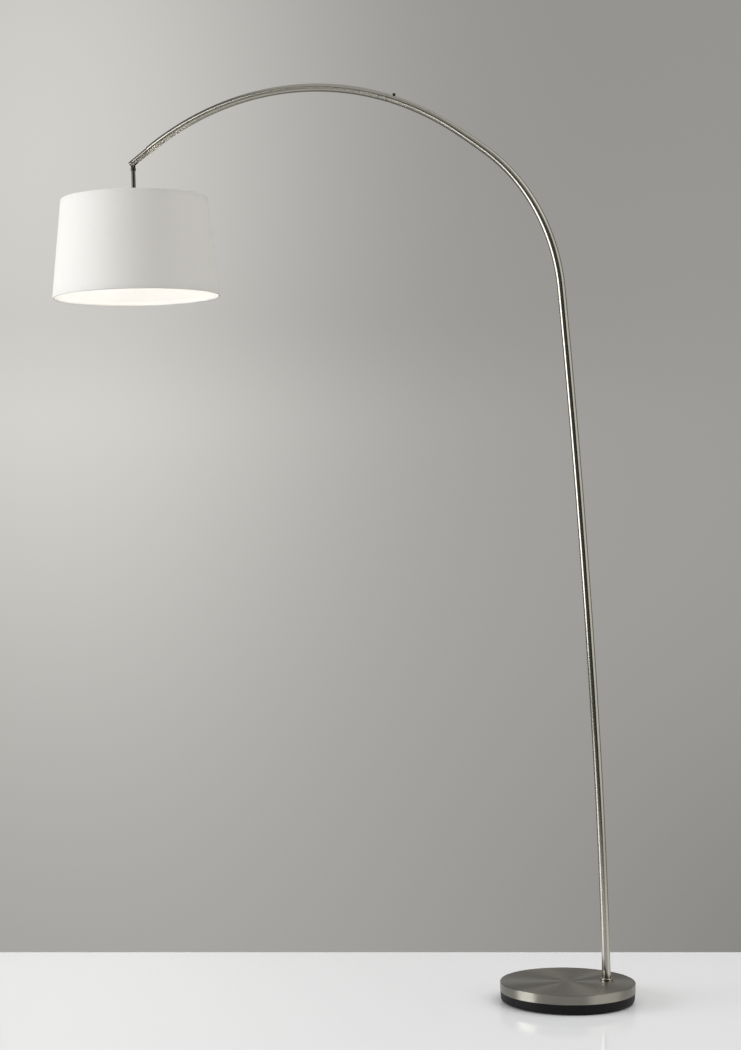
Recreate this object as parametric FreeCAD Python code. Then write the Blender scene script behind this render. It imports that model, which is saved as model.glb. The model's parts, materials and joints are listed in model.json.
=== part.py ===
import FreeCAD, Part
import math
import os
from FreeCAD import Placement, Rotation, Vector

# Arc floor lamp with a sliding arm. Millimetres, +Z up, origin on the floor under the middle of
# the round base. The arm reaches towards -X in an upright plane parallel to XZ.

# Round base
BASE_RADIUS = 150.0
BASE_HEIGHT = 44.0
COVER_DEPTH = 20.5
COVER_WALL = 1.2
COVER_EDGE = 1.6
PAD_RADIUS = 128.0
PAD_THICKNESS = 2.0
PAN_FLOOR = 2.5
PAN_WALL = 2.6
PAN_INSET = 0.4
PAN_FOOT_RADIUS = 148.4
PAN_EDGE = 6.5
PAN_LIP_HEIGHT = 4.0
PAN_LIP_WALL = 2.0
PAN_LIP_GAP = 0.2
WEIGHT_RADIUS = 144.0
WEIGHT_HUB_RADIUS = 114.0
WEIGHT_CHAMFER = 3.0
HUB_CHAMFER = 2.0
PAN_SCREW_CIRCLE = 78.0
PAN_SCREW_COUNT = 4
PAN_SCREW_HEAD = 4.6
PAN_SCREW_RADIUS = 2.4
PAN_SCREW_SINK = 2.2
PAN_SCREW_LENGTH = 14.0
PAN_SCREW_RECESS = 0.2

# Outlet for the mains lead, at the back of the pan
GLAND_BORE = 3.6
GLAND_RADIUS = 6.0
GLAND_FLANGE = 8.5
GLAND_HEIGHT = 13.0
GLAND_SEAT = 147.5
GLAND_INNER_END = 134.0
GLAND_BEVEL = 1.5
OUTLET_BEND = Vector(0, 112, 0)
CHANNEL_WIDTH = 12.0
CHANNEL_ROOM = 6.0

# Foot of the pole
FOOT = Vector(74.0, 49.0, BASE_HEIGHT)
FOOT_LEAN = 1.65
COLLAR_RADIUS = 14.0
COLLAR_HEIGHT = 5.0
COLLAR_EDGE = 2.5
COLLAR_ROOM = 0.3
NIPPLE_RADIUS = 4.8
NIPPLE_BORE = 3.5
NUT_FLATS = 19.0
NUT_HEIGHT = 7.0
WASHER_THICKNESS = 1.5
WASHER_BORE = 5.1
FLAT_WASHER_RADIUS = 15.0
SPRING_WASHER_RADIUS = 8.6
RECESS_RADIUS = 17.0
RECESS_TOP = 34.0

# Bent tubes: each stretch of the centreline has a length and the angle through which it turns
TUBE_RADIUS = 9.5
TUBE_WALL = 1.2
TUBE_BORE = TUBE_RADIUS - TUBE_WALL
LOWER_POLE = (512.5, 1.9)
UPPER_POLE = (1010.0, 2.25)
POLE_LEAD = (24.0, 0.06)
BEND_RADIUS = 461.0
BEND_TURN = 47.78
EASING = (90.0, 2.58)
ARC_RADIUS = 737.0
OUTER_ARC_TURN = 14.65
ARM_ARC_TURN = 52.05
ROD_LENGTH = 61.0
SEAM_GAP = 0.2

# Sliding joint between the outer arc tube and the arm
SLIDE_RADIUS = 7.5
SLIDE_WALL = 1.2
SLIDE_HIDDEN = 150.0
GLIDE_LENGTH = 30.0
TAIL_LENGTH = 20.0
SLIDE_CLEARANCE = 0.06
SPIGOT_LENGTH = 40.0
LOCK_BACK = 12.0
LOCK_SHANK = 2.0
LOCK_HEAD_RADIUS = 3.4
LOCK_HEAD_HEIGHT = 4.8
LOCK_HEAD_EDGE = 0.8
LOCK_SLOT = 0.9
KNURL_RADIUS = 0.45
KNURL_COUNT = 16

# Tilting knuckle
ROD_RADIUS = 8.0
ROD_BORE = 3.6
PIVOT_BACK = 7.8
SLOT_WIDTH = 6.2
SLOT_DEPTH = 19.0
TONGUE_THICKNESS = 5.0
TONGUE_RADIUS = 6.5
PIN_RADIUS = 2.5
PIN_CLEARANCE = 0.05
FRICTION_WASHER = 0.5
KNUCKLE_TOP = 11.5
KNUCKLE_BOTTOM = 19.0
KNUCKLE_RADIUS = 6.3

# Head, measured down its own axis from the pivot
HEAD_TILT = 1.75
STEM_RADIUS = 5.0
STEM_BORE = 3.4
STEM_TOP = 14.5
STEM_BOTTOM = 100.0
CAP_TOP = 92.0
CAP_NECK = 7.5
CAP_NECK_LENGTH = 8.0
CAP_DOME = 10.0
CAP_WALL = 1.2
CAP_STAND = 0.6
SOCKET_TOP = 118.0
SOCKET_BOTTOM = 160.0
SOCKET_RADIUS = 19.0
SOCKET_WALL = 2.4
SOCKET_FLOOR = 7.0
SOCKET_SHOULDER = 4.0
SHELL_RADIUS = 14.2
FITTER_TOP = 121.0
FITTER_THICKNESS = 2.0
RING_NUT_RADIUS = 26.0
RING_NUT_HEIGHT = 7.0
RING_NUT_GROOVE = 1.2
RING_NUT_GROOVES = 24
SWITCH_DEPTH = 110.0
SWITCH_SHAFT = 2.0
KNOB_RADIUS = 5.5
KNOB_LENGTH = 13.0
KNOB_START = SOCKET_RADIUS + 1.6
KNOB_BORE = 9.0
KNOB_GROOVE = 0.8
KNOB_GROOVES = 12
SWITCH_BLOCK = (20.0, 13.0, 10.0)
BULB_RADIUS = 30.0
BULB_CENTRE = 208.0
BULB_NECK = 13.4
GLASS_WALL = 1.0
BULB_TIP = SOCKET_TOP + 9.5
BULB_CAP_RADIUS = 13.0
BULB_CAP_END = BULB_TIP + 26.0

# Shade
SHADE_TOP = 88.0
SHADE_HEIGHT = 241.8
SHADE_TOP_RADIUS = 179.0
SHADE_BOTTOM_RADIUS = 205.0
SHADE_WALL = 1.2
RIM_WIRE = 1.5
RIM_TURN_IN = 5.0
SPOKE_COUNT = 3

CABLE_RADIUS = 2.7
CABLE_GAP = 8.0
UP = Vector(0, 0, 1)
ACROSS = Vector(0, 1, 0)
OUTWARD = Vector(1, 0, 0)


def rod(radius, start, end):
    """Round bar between two points."""
    return Part.makeCylinder(radius, (end - start).Length, start, end - start)


def ring(outer, inner, bottom, top, centre=Vector()):
    """Upright sleeve, washer or hollow disc."""
    low = centre + UP * bottom
    high = centre + UP * top
    return rod(outer, low, high).cut(rod(inner, low, high))


def turned(*steps):
    """Solid of revolution about Z; a step is a point (radius, height) or a pair: through, end."""
    def at(point):
        return Vector(point[0], 0, point[1])
    edges = []
    here = steps[0]
    for step in steps[1:] + steps[:1]:
        if isinstance(step[0], tuple):
            edges.append(Part.Arc(at(here), at(step[0]), at(step[1])).toShape())
            here = step[1]
        elif at(step).distanceToPoint(at(here)) > 1e-6:
            edges.append(Part.makeLine(at(here), at(step)))
            here = step
    return Part.Face(Part.Wire(edges)).revolve(Vector(), UP, 360)


def spun(shape, count, axis=UP, centre=Vector()):
    """The same shape repeated evenly round an axis."""
    copies = []
    for index in range(count):
        copy = shape.copy()
        copy.rotate(centre, axis, 360.0 * index / count)
        copies.append(copy)
    return copies


def soften(shape, radius, height, reach):
    """Round the circular edges of one reach that lie at one height."""
    edges = []
    for edge in shape.Edges:
        box = edge.BoundBox
        if abs(box.ZMin - height) < 1e-4 and abs(box.ZMax - height) < 1e-4 and abs(box.XMax - reach) < 1e-3:
            edges.append(edge)
    return shape.makeFillet(radius, edges)


class Bow:
    """Centreline of the bent tubes: tangent stretches in one upright plane, measured from the foot."""

    def __init__(self, start, lean, stretches):
        self.stretches = []
        self.length = 0.0
        point = start
        heading = lean
        for length, turn in stretches:
            self.stretches.append((self.length, length, turn, point, heading))
            self.length += length
            point, heading = self.advance(length, turn, point, heading, length)

    @staticmethod
    def direction(heading):
        angle = math.radians(heading)
        return Vector(-math.sin(angle), 0, math.cos(angle))

    @staticmethod
    def inward(heading):
        angle = math.radians(heading)
        return Vector(-math.cos(angle), 0, -math.sin(angle))

    def advance(self, length, turn, point, heading, distance):
        if not turn:
            return point + self.direction(heading) * distance, heading
        radius = length / math.radians(turn)
        end = heading + turn * distance / length
        centre = point + self.inward(heading) * radius
        return centre - self.inward(end) * radius, end

    def station(self, distance):
        """Point and heading at a distance along the centreline."""
        for first, length, turn, point, heading in self.stretches:
            if distance <= first + length + 1e-9:
                break
        return self.advance(length, turn, point, heading, distance - first)

    def place(self, distance):
        """Local frame there: Z along the tube, X out of the curve, Y across."""
        point, heading = self.station(distance)
        return Placement(point, Rotation(-ACROSS, heading))

    def centre(self, distance):
        """Centre of curvature of the stretch that holds this distance."""
        for first, length, turn, point, heading in self.stretches:
            if distance <= first + length + 1e-9:
                break
        return point + self.inward(heading) * (length / math.radians(turn))

    def bar(self, start, end, radius):
        """Round bar that follows the centreline."""
        pieces = []
        for first, length, turn, point, heading in self.stretches:
            low = max(start, first)
            high = min(end, first + length)
            if high - low < 1e-6:
                continue
            here, angle = self.advance(length, turn, point, heading, low - first)
            disc = Part.Face(Part.Wire(Part.makeCircle(radius, here, self.direction(angle))))
            if turn:
                middle = here + self.inward(angle) * (length / math.radians(turn))
                pieces.append(disc.revolve(middle, -ACROSS, turn * (high - low) / length))
            else:
                pieces.append(disc.extrude(self.direction(angle) * (high - low)))
        if len(pieces) == 1:
            return pieces[0]
        return pieces[0].fuse(pieces[1:]).removeSplitter()

    def sleeve(self, start, end, outer, inner):
        """Tube that follows the centreline."""
        return self.bar(start, end, outer).cut(self.bar(start, end, inner))


BEND = (BEND_RADIUS * math.radians(BEND_TURN), BEND_TURN)
OUTER_ARC = (ARC_RADIUS * math.radians(OUTER_ARC_TURN), OUTER_ARC_TURN)
ARM_ARC = (ARC_RADIUS * math.radians(ARM_ARC_TURN), ARM_ARC_TURN)
STRETCHES = (LOWER_POLE, UPPER_POLE, POLE_LEAD, BEND, EASING, OUTER_ARC, ARM_ARC, (ROD_LENGTH, 0))
bow = Bow(FOOT, FOOT_LEAN, STRETCHES)

POLE_SEAM = LOWER_POLE[0]
ARC_SEAM = POLE_SEAM + UPPER_POLE[0]
SLIDE_SEAM = ARC_SEAM + POLE_LEAD[0] + BEND[0] + EASING[0] + OUTER_ARC[0]
ARM_END = SLIDE_SEAM + ARM_ARC[0]
ROD_END = ARM_END + ROD_LENGTH
PIVOT = ROD_END - PIVOT_BACK
pivot_point = bow.station(PIVOT)[0]

nodes = {}


# ---- Base ----

COVER_RIM = BASE_HEIGHT - COVER_DEPTH
PAN_BOTTOM = PAD_THICKNESS
PAN_INSIDE = PAN_BOTTOM + PAN_FLOOR
foot_below = Vector(FOOT.x, FOOT.y, 0)
SCREW_ROOM = 0.1
NIPPLE_ROOM = 0.3
NUT_TOP = RECESS_TOP - 2 * WASHER_THICKNESS


def pan_screws(room=0.0):
    """Countersunk screws that hold the pan to the weight, as separate solids, or the room for them."""
    bottom = -3 * room
    head = PAN_SCREW_HEAD + 5 * room
    shank = PAN_SCREW_RADIUS + room
    sink = PAN_SCREW_SINK + room
    end = PAN_SCREW_LENGTH + 5 * room
    screw = turned((0, bottom), (head, bottom), (shank, sink), (shank, end), (0, end))
    screw.translate(Vector(PAN_SCREW_CIRCLE, 0, PAN_BOTTOM + PAN_SCREW_RECESS))
    screw.rotate(Vector(), UP, 45)
    return spun(screw, PAN_SCREW_COUNT)


def base_pan():
    """Black moulded pan: a nearly upright side, a rounded foot, and a lip inside the cover."""
    side = BASE_RADIUS - PAN_INSET
    lip_outside = BASE_RADIUS - COVER_WALL - PAN_LIP_GAP
    lip_inside = lip_outside - PAN_LIP_WALL
    lip_top = COVER_RIM + PAN_LIP_HEIGHT
    flat = PAN_FOOT_RADIUS - PAN_EDGE
    slack = PAN_EDGE * (1 - math.sqrt(0.5))
    inside_edge = PAN_INSIDE + PAN_EDGE - PAN_WALL
    shell = turned(
        (0, PAN_BOTTOM), (flat, PAN_BOTTOM),
        ((PAN_FOOT_RADIUS - slack, PAN_BOTTOM + slack), (PAN_FOOT_RADIUS, PAN_BOTTOM + PAN_EDGE)),
        (side, COVER_RIM), (lip_outside, COVER_RIM), (lip_outside, lip_top), (lip_inside, lip_top),
        (PAN_FOOT_RADIUS - PAN_WALL, inside_edge), (flat, PAN_INSIDE), (0, PAN_INSIDE))
    inner = Vector(0, OUTLET_BEND.y, GLAND_HEIGHT)
    seat = Vector(0, GLAND_SEAT, GLAND_HEIGHT)
    beyond = Vector(0, BASE_RADIUS + 1, GLAND_HEIGHT)
    outlet = rod(GLAND_RADIUS, inner, beyond)
    flange_seat = rod(GLAND_FLANGE + 0.3, seat, beyond)
    return shell.cut([outlet, flange_seat] + pan_screws(SCREW_ROOM))


def cable_channel():
    """Groove under the weight from the outlet to the recess below the pole."""
    top = GLAND_HEIGHT + CHANNEL_ROOM
    pieces = []
    for start, end in ((Vector(0, BASE_RADIUS, 0), OUTLET_BEND), (OUTLET_BEND, foot_below)):
        run = end - start
        box = Part.makeBox(run.Length, CHANNEL_WIDTH, top, Vector(0, -CHANNEL_WIDTH / 2, 0))
        box.Placement = Placement(start, Rotation(Vector(1, 0, 0), run))
        pieces.append(box)
        pieces.append(rod(CHANNEL_WIDTH / 2, end, end + UP * top))
    return pieces


def base_weight():
    """Cast-iron weight: a flange that fills the cover and a hub that stands in the pan."""
    flange_bottom = COVER_RIM + PAN_LIP_HEIGHT + 0.5
    top = BASE_HEIGHT - COVER_WALL
    casting = turned(
        (0, PAN_INSIDE), (WEIGHT_HUB_RADIUS - HUB_CHAMFER, PAN_INSIDE),
        (WEIGHT_HUB_RADIUS, PAN_INSIDE + HUB_CHAMFER), (WEIGHT_HUB_RADIUS, flange_bottom),
        (WEIGHT_RADIUS, flange_bottom), (WEIGHT_RADIUS, top - WEIGHT_CHAMFER),
        (WEIGHT_RADIUS - WEIGHT_CHAMFER, top), (0, top))
    recess = rod(RECESS_RADIUS, foot_below, foot_below + UP * RECESS_TOP)
    passage = rod(NIPPLE_RADIUS + NIPPLE_ROOM, foot_below, FOOT)
    return casting.cut([recess, passage] + cable_channel() + pan_screws(SCREW_ROOM))


def base_cover():
    """Spun steel cover over the weight, pierced for the nipple."""
    inside = BASE_RADIUS - COVER_WALL
    top = BASE_HEIGHT - COVER_WALL
    shell = turned(
        (0, BASE_HEIGHT), (BASE_RADIUS, BASE_HEIGHT), (BASE_RADIUS, COVER_RIM), (inside, COVER_RIM),
        (inside, top), (0, top))
    shell = soften(shell, COVER_EDGE, BASE_HEIGHT, BASE_RADIUS)
    return shell.cut(rod(NIPPLE_RADIUS + NIPPLE_ROOM, foot_below, FOOT + UP))


def cord_gland():
    """Rubber-lipped bush in the pan's side, bored for the mains lead."""
    start = Vector(0, GLAND_INNER_END, GLAND_HEIGHT)
    wall_out = Vector(0, GLAND_SEAT, GLAND_HEIGHT)
    end = Vector(0, BASE_RADIUS, GLAND_HEIGHT)
    body = rod(GLAND_RADIUS - 0.05, start, wall_out)
    proud = (end - wall_out).Length
    flange = Part.makeCone(GLAND_FLANGE, GLAND_FLANGE - GLAND_BEVEL, proud, wall_out, ACROSS)
    return body.fuse(flange).removeSplitter().cut(rod(GLAND_BORE, start, end))


def hexagon(flats, bottom, top, centre):
    """Six-sided prism."""
    corners = []
    for index in range(7):
        angle = math.radians(60 * index)
        reach = flats / math.sqrt(3)
        corners.append(centre + Vector(reach * math.cos(angle), reach * math.sin(angle), bottom))
    return Part.Face(Part.makePolygon(corners)).extrude(UP * (top - bottom))


def foot_nut():
    """Hexagon nut that pulls the pole down on to the base."""
    bottom = NUT_TOP - NUT_HEIGHT
    blank = hexagon(NUT_FLATS, bottom, NUT_TOP, foot_below)
    face = NUT_FLATS / 2 - 1.5
    corner = NUT_FLATS / 2 + 2.0
    chamfer = turned(
        (0, bottom), (face, bottom), (corner, bottom + corner - face), (corner, NUT_TOP), (0, NUT_TOP))
    chamfer.translate(foot_below)
    return blank.common(chamfer).cut(rod(NIPPLE_RADIUS + 0.05, foot_below, FOOT))


def split_washer():
    """Spring washer with its cut."""
    blank = ring(SPRING_WASHER_RADIUS, WASHER_BORE, NUT_TOP, NUT_TOP + WASHER_THICKNESS, foot_below)
    cut_width = 1.2
    start = foot_below + Vector(WASHER_BORE - 1.0, -cut_width / 2, NUT_TOP)
    return blank.cut(Part.makeBox(SPRING_WASHER_RADIUS, cut_width, WASHER_THICKNESS, start))


nodes["floor_pad"] = rod(PAD_RADIUS, Vector(), UP * PAD_THICKNESS)
nodes["base_pan"] = base_pan()
nodes["pan_screws"] = Part.makeCompound(pan_screws())
nodes["base_weight"] = base_weight()
nodes["base_cover"] = base_cover()
nodes["cord_gland"] = cord_gland()
nodes["foot_nut"] = foot_nut()
nodes["foot_spring_washer"] = split_washer()
nodes["foot_flat_washer"] = ring(
    FLAT_WASHER_RADIUS, WASHER_BORE, RECESS_TOP - WASHER_THICKNESS, RECESS_TOP, foot_below)


# ---- Foot of the pole ----

PLUG_START = 0.3
PLUG_LENGTH = 26.0
NIPPLE_BOTTOM = NUT_TOP - NUT_HEIGHT
NIPPLE_TOP = BASE_HEIGHT + 15.0


def foot_plug():
    """Threaded plug welded into the pole's foot; its thread stands upright in the leaning pole."""
    blank = bow.sleeve(PLUG_START, PLUG_LENGTH, TUBE_BORE, NIPPLE_BORE)
    return blank.cut(rod(NIPPLE_RADIUS + 0.05, FOOT, foot_below + UP * (NIPPLE_TOP + 1)))


def foot_collar():
    """Turned collar round the foot of the pole, with a rounded shoulder."""
    top = BASE_HEIGHT + COLLAR_HEIGHT
    bore = TUBE_RADIUS + COLLAR_ROOM
    slack = COLLAR_EDGE * (1 - math.sqrt(0.5))
    blank = turned(
        (bore, BASE_HEIGHT), (COLLAR_RADIUS, BASE_HEIGHT), (COLLAR_RADIUS, top - COLLAR_EDGE),
        ((COLLAR_RADIUS - slack, top - slack), (COLLAR_RADIUS - COLLAR_EDGE, top)), (bore, top))
    blank.translate(foot_below)
    return blank


nodes["foot_nipple"] = ring(NIPPLE_RADIUS, NIPPLE_BORE, NIPPLE_BOTTOM, NIPPLE_TOP, foot_below)
nodes["foot_plug"] = foot_plug()
nodes["foot_collar"] = foot_collar()


# ---- Pole and outer arc tube ----

SOCKET_LENGTH = 26.0
STUD_LENGTH = 16.0
THREAD_RADIUS = 5.0


def screwed_seam(name, seam):
    """Threaded bush in the lower tube's mouth and the stud that screws into it from the tube above."""
    bush = bow.sleeve(seam - SOCKET_LENGTH, seam, TUBE_BORE, THREAD_RADIUS)
    plug = bow.sleeve(seam, seam + SOCKET_LENGTH, TUBE_BORE, NIPPLE_BORE)
    stud = bow.sleeve(seam - STUD_LENGTH, seam, THREAD_RADIUS - 0.08, NIPPLE_BORE)
    nodes[name + "_bush"] = bush
    nodes[name + "_stud"] = plug.fuse(stud).removeSplitter()


def lock_hole(radius):
    """Radial hole through the outer side of the tube for the lock screw."""
    hole = rod(radius, OUTWARD * (SLIDE_RADIUS / 2), OUTWARD * (TUBE_RADIUS + 6.0))
    hole.Placement = bow.place(SLIDE_SEAM - LOCK_BACK).multiply(hole.Placement)
    return hole


nodes["lower_pole"] = bow.sleeve(PLUG_START, POLE_SEAM - SEAM_GAP, TUBE_RADIUS, TUBE_BORE)
screwed_seam("pole_seam", POLE_SEAM)
nodes["upper_pole"] = bow.sleeve(POLE_SEAM + SEAM_GAP, ARC_SEAM - SEAM_GAP, TUBE_RADIUS, TUBE_BORE)
screwed_seam("arc_seam", ARC_SEAM)
arc_tube = bow.sleeve(ARC_SEAM + SEAM_GAP, SLIDE_SEAM - SEAM_GAP, TUBE_RADIUS, TUBE_BORE)
nodes["arc_tube"] = arc_tube.cut(lock_hole(LOCK_SHANK + 0.05))
glide = bow.sleeve(SLIDE_SEAM - GLIDE_LENGTH, SLIDE_SEAM - SEAM_GAP, TUBE_BORE, SLIDE_RADIUS + SLIDE_CLEARANCE)
nodes["glide_bush"] = glide.cut(lock_hole(LOCK_SHANK + 0.3))


def lock_screw():
    """Small knurled screw that bears on the slide tube, in the frame of its place on the tube."""
    shank_end = SLIDE_RADIUS + 0.1
    head_start = TUBE_RADIUS + 0.25
    head_end = head_start + LOCK_HEAD_HEIGHT
    shank = rod(LOCK_SHANK, OUTWARD * shank_end, OUTWARD * head_start)
    head = rod(LOCK_HEAD_RADIUS, OUTWARD * head_start, OUTWARD * head_end)
    for edge in head.Edges:
        if abs(edge.BoundBox.XMin - head_end) < 1e-4 and edge.BoundBox.YLength > LOCK_HEAD_RADIUS:
            head = head.makeFillet(LOCK_HEAD_EDGE, [edge])
            break
    start = Vector(head_start - 0.1, LOCK_HEAD_RADIUS + 0.1, 0)
    groove = rod(KNURL_RADIUS, start, start + OUTWARD * (LOCK_HEAD_HEIGHT + 0.2))
    screw = head.cut(spun(groove, KNURL_COUNT, OUTWARD)).fuse(shank)
    slot_length = 3 * LOCK_HEAD_RADIUS
    corner = Vector(head_end - LOCK_SLOT, -slot_length / 2, -LOCK_SLOT / 2)
    screw = screw.cut(Part.makeBox(2 * LOCK_SLOT, slot_length, LOCK_SLOT, corner))
    screw.Placement = bow.place(SLIDE_SEAM - LOCK_BACK)
    return screw


nodes["lock_screw"] = lock_screw()


# ---- Sliding arm ----

SLIDE_TAIL = SLIDE_SEAM - SLIDE_HIDDEN
SLIDE_FRONT = SLIDE_SEAM + SPIGOT_LENGTH
ROD_PLUG = 26.0


def end_rod():
    """Slimmer rod at the arm's end: plugged into the tube, bored for the cable, slotted for the tongue."""
    step = ARM_END + SEAM_GAP
    plug = bow.bar(ARM_END - ROD_PLUG, step, TUBE_BORE)
    blank = plug.fuse(bow.bar(step, ROD_END, ROD_RADIUS)).removeSplitter()
    bore = bow.bar(ARM_END - ROD_PLUG, ROD_END - SLOT_DEPTH + 2.0, ROD_BORE)
    reach = 2 * ROD_RADIUS
    slot = Part.makeBox(
        2 * reach, SLOT_WIDTH, SLOT_DEPTH + 5.0, Vector(-reach, -SLOT_WIDTH / 2, -SLOT_DEPTH))
    slot.Placement = bow.place(ROD_END).multiply(slot.Placement)
    pin_hole = rod(PIN_RADIUS, pivot_point - ACROSS * reach, pivot_point + ACROSS * reach)
    return blank.cut([bore, slot, pin_hole])


def friction_washers():
    """Two thin nylon washers, one each side of the tongue, as separate solids."""
    pair = []
    for side in (-1, 1):
        near = pivot_point + ACROSS * (side * (SLOT_WIDTH / 2))
        far = near - ACROSS * (side * FRICTION_WASHER)
        pair.append(rod(TONGUE_RADIUS - 0.4, near, far).cut(rod(PIN_RADIUS + 0.15, near, far)))
    return Part.makeCompound(pair)


def pivot_pin():
    """Plain pin across the fork, a little short of the rod's sides."""
    reach = ROD_RADIUS - 0.4
    return rod(PIN_RADIUS, pivot_point - ACROSS * reach, pivot_point + ACROSS * reach)


nodes["slide_tube"] = bow.sleeve(SLIDE_TAIL, SLIDE_FRONT, SLIDE_RADIUS, SLIDE_RADIUS - SLIDE_WALL)
nodes["tail_bush"] = bow.sleeve(SLIDE_TAIL, SLIDE_TAIL + TAIL_LENGTH, TUBE_BORE - SLIDE_CLEARANCE, SLIDE_RADIUS)
nodes["arm_sleeve"] = bow.sleeve(SLIDE_SEAM + SEAM_GAP, SLIDE_FRONT, TUBE_BORE, SLIDE_RADIUS)
nodes["arm_tube"] = bow.sleeve(SLIDE_SEAM + SEAM_GAP, ARM_END, TUBE_RADIUS, TUBE_BORE)
nodes["end_rod"] = end_rod()
nodes["friction_washers"] = friction_washers()
nodes["pivot_pin"] = pivot_pin()


# ---- Head: stem, socket, switch, bulb. Built about its own axis, then hung from the pivot ----

def hang(shape):
    """Move a shape from the head's own frame to the pivot, at the head's tilt."""
    shape = shape.copy()
    shape.rotate(Vector(), ACROSS, -HEAD_TILT)
    shape.translate(pivot_point)
    return shape


def down(depth):
    """Point on the head's axis."""
    return Vector(0, 0, -depth)


def knuckle():
    """Flat tongue with its eye on the pin, and the round collar that takes the stem."""
    half = TONGUE_THICKNESS / 2
    eye = rod(TONGUE_RADIUS, -ACROSS * half, ACROSS * half)
    web_half = TONGUE_RADIUS - 1.5
    web_depth = KNUCKLE_TOP + 0.5
    web = Part.makeBox(2 * web_half, TONGUE_THICKNESS, web_depth, Vector(-web_half, -half, -web_depth))
    collar = rod(KNUCKLE_RADIUS, down(KNUCKLE_BOTTOM), down(KNUCKLE_TOP))
    body = collar.fuse([eye, web]).removeSplitter()
    pin_hole = rod(PIN_RADIUS + PIN_CLEARANCE, -ACROSS * TONGUE_THICKNESS, ACROSS * TONGUE_THICKNESS)
    stem_hole = rod(STEM_RADIUS, down(KNUCKLE_BOTTOM + 1), down(STEM_TOP))
    return body.cut([pin_hole, stem_hole])


def switch_bore():
    """Room for the switch shaft, from the head's axis outwards."""
    start = down(SWITCH_DEPTH)
    return rod(SWITCH_SHAFT + 0.05, start, start + OUTWARD * (SOCKET_RADIUS + KNOB_LENGTH))


def socket_cap():
    """Domed steel cap of the socket, with a neck for the stem and a hole for the switch shaft."""
    shoulder = CAP_TOP + CAP_NECK_LENGTH
    side = shoulder + CAP_DOME
    outer = SOCKET_RADIUS + CAP_STAND
    inner = outer - CAP_WALL
    bend = 3.0
    under = shoulder + 1.4 * CAP_WALL
    dome = turned(
        (STEM_RADIUS, -CAP_TOP), (CAP_NECK, -CAP_TOP), (CAP_NECK, -shoulder),
        ((outer - bend, -shoulder - bend), (outer, -side)), (outer, -SOCKET_TOP), (inner, -SOCKET_TOP),
        (inner, -side), ((inner - bend, -under - bend), (CAP_NECK, -under)), (STEM_RADIUS, -under))
    return dome.cut(switch_bore())


def socket_body():
    """Black moulded socket with a shoulder for the shade's fitter and a floor for the contact."""
    inner = SOCKET_RADIUS - SOCKET_WALL
    floor = SOCKET_TOP + SOCKET_FLOOR
    shoulder = SOCKET_RADIUS + SOCKET_SHOULDER
    return turned(
        (0, -SOCKET_TOP), (shoulder, -SOCKET_TOP), (shoulder, -FITTER_TOP),
        (SOCKET_RADIUS, -FITTER_TOP), (SOCKET_RADIUS, -SOCKET_BOTTOM), (inner, -SOCKET_BOTTOM),
        (inner, -floor), (0, -floor))


def switch_body():
    """Moulded switch on the socket's back, inside the cap; the shaft turns in it."""
    length, width, height = SWITCH_BLOCK
    return Part.makeBox(length, width, height, Vector(-9.0, -width / 2, -SOCKET_TOP)).cut(switch_bore())


def switch_knob():
    """Ribbed turning knob on the switch shaft."""
    start = Vector(KNOB_START, 0, -SWITCH_DEPTH)
    knob = rod(KNOB_RADIUS, start, start + OUTWARD * KNOB_LENGTH)
    groove_start = start + Vector(2.5, KNOB_RADIUS + 0.25, 0)
    groove = rod(KNOB_GROOVE, groove_start, groove_start + OUTWARD * KNOB_LENGTH)
    hole = rod(SWITCH_SHAFT, start, start + OUTWARD * KNOB_BORE)
    return knob.cut(spun(groove, KNOB_GROOVES, OUTWARD, start) + [hole])


def shade_ring():
    """Flat ring nut that clamps the fitter against the socket's shoulder."""
    top = FITTER_TOP + FITTER_THICKNESS
    bottom = top + RING_NUT_HEIGHT
    blank = ring(RING_NUT_RADIUS, SOCKET_RADIUS + 0.05, -bottom, -top)
    start = Vector(RING_NUT_RADIUS + 0.6, 0, -bottom - 1.0)
    groove = rod(RING_NUT_GROOVE, start, start + UP * (RING_NUT_HEIGHT - 1.0))
    return blank.cut(spun(groove, RING_NUT_GROOVES))


def bulb_cap():
    """Screw cap of the bulb with its insulated tip."""
    return turned(
        (0, -BULB_TIP), (4.5, -BULB_TIP), (9.5, -BULB_TIP - 3.0), (BULB_CAP_RADIUS, -BULB_TIP - 5.0),
        (BULB_CAP_RADIUS, -BULB_CAP_END), (0, -BULB_CAP_END))


def bulb_outline(wall):
    """Glass outline: a straight neck, a long flare and a round end, inset by the wall."""
    radius = BULB_RADIUS - wall
    neck = BULB_NECK - wall
    neck_end = BULB_CAP_END
    shoulder = math.radians(50)
    touch = (radius * math.sin(shoulder), -BULB_CENTRE + radius * math.cos(shoulder))
    middle = (0.5 * (neck + touch[0]) - 2.2, -0.5 * (neck_end + 2.0 - touch[1]))
    return turned(
        (0, -neck_end), (neck, -neck_end), (neck, -neck_end - 2.0), (middle, touch),
        ((radius, -BULB_CENTRE), (0, -BULB_CENTRE - radius)))


def bulb_glass():
    """Thin glass envelope, open where it meets the cap."""
    return bulb_outline(0).cut(bulb_outline(GLASS_WALL))


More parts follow.
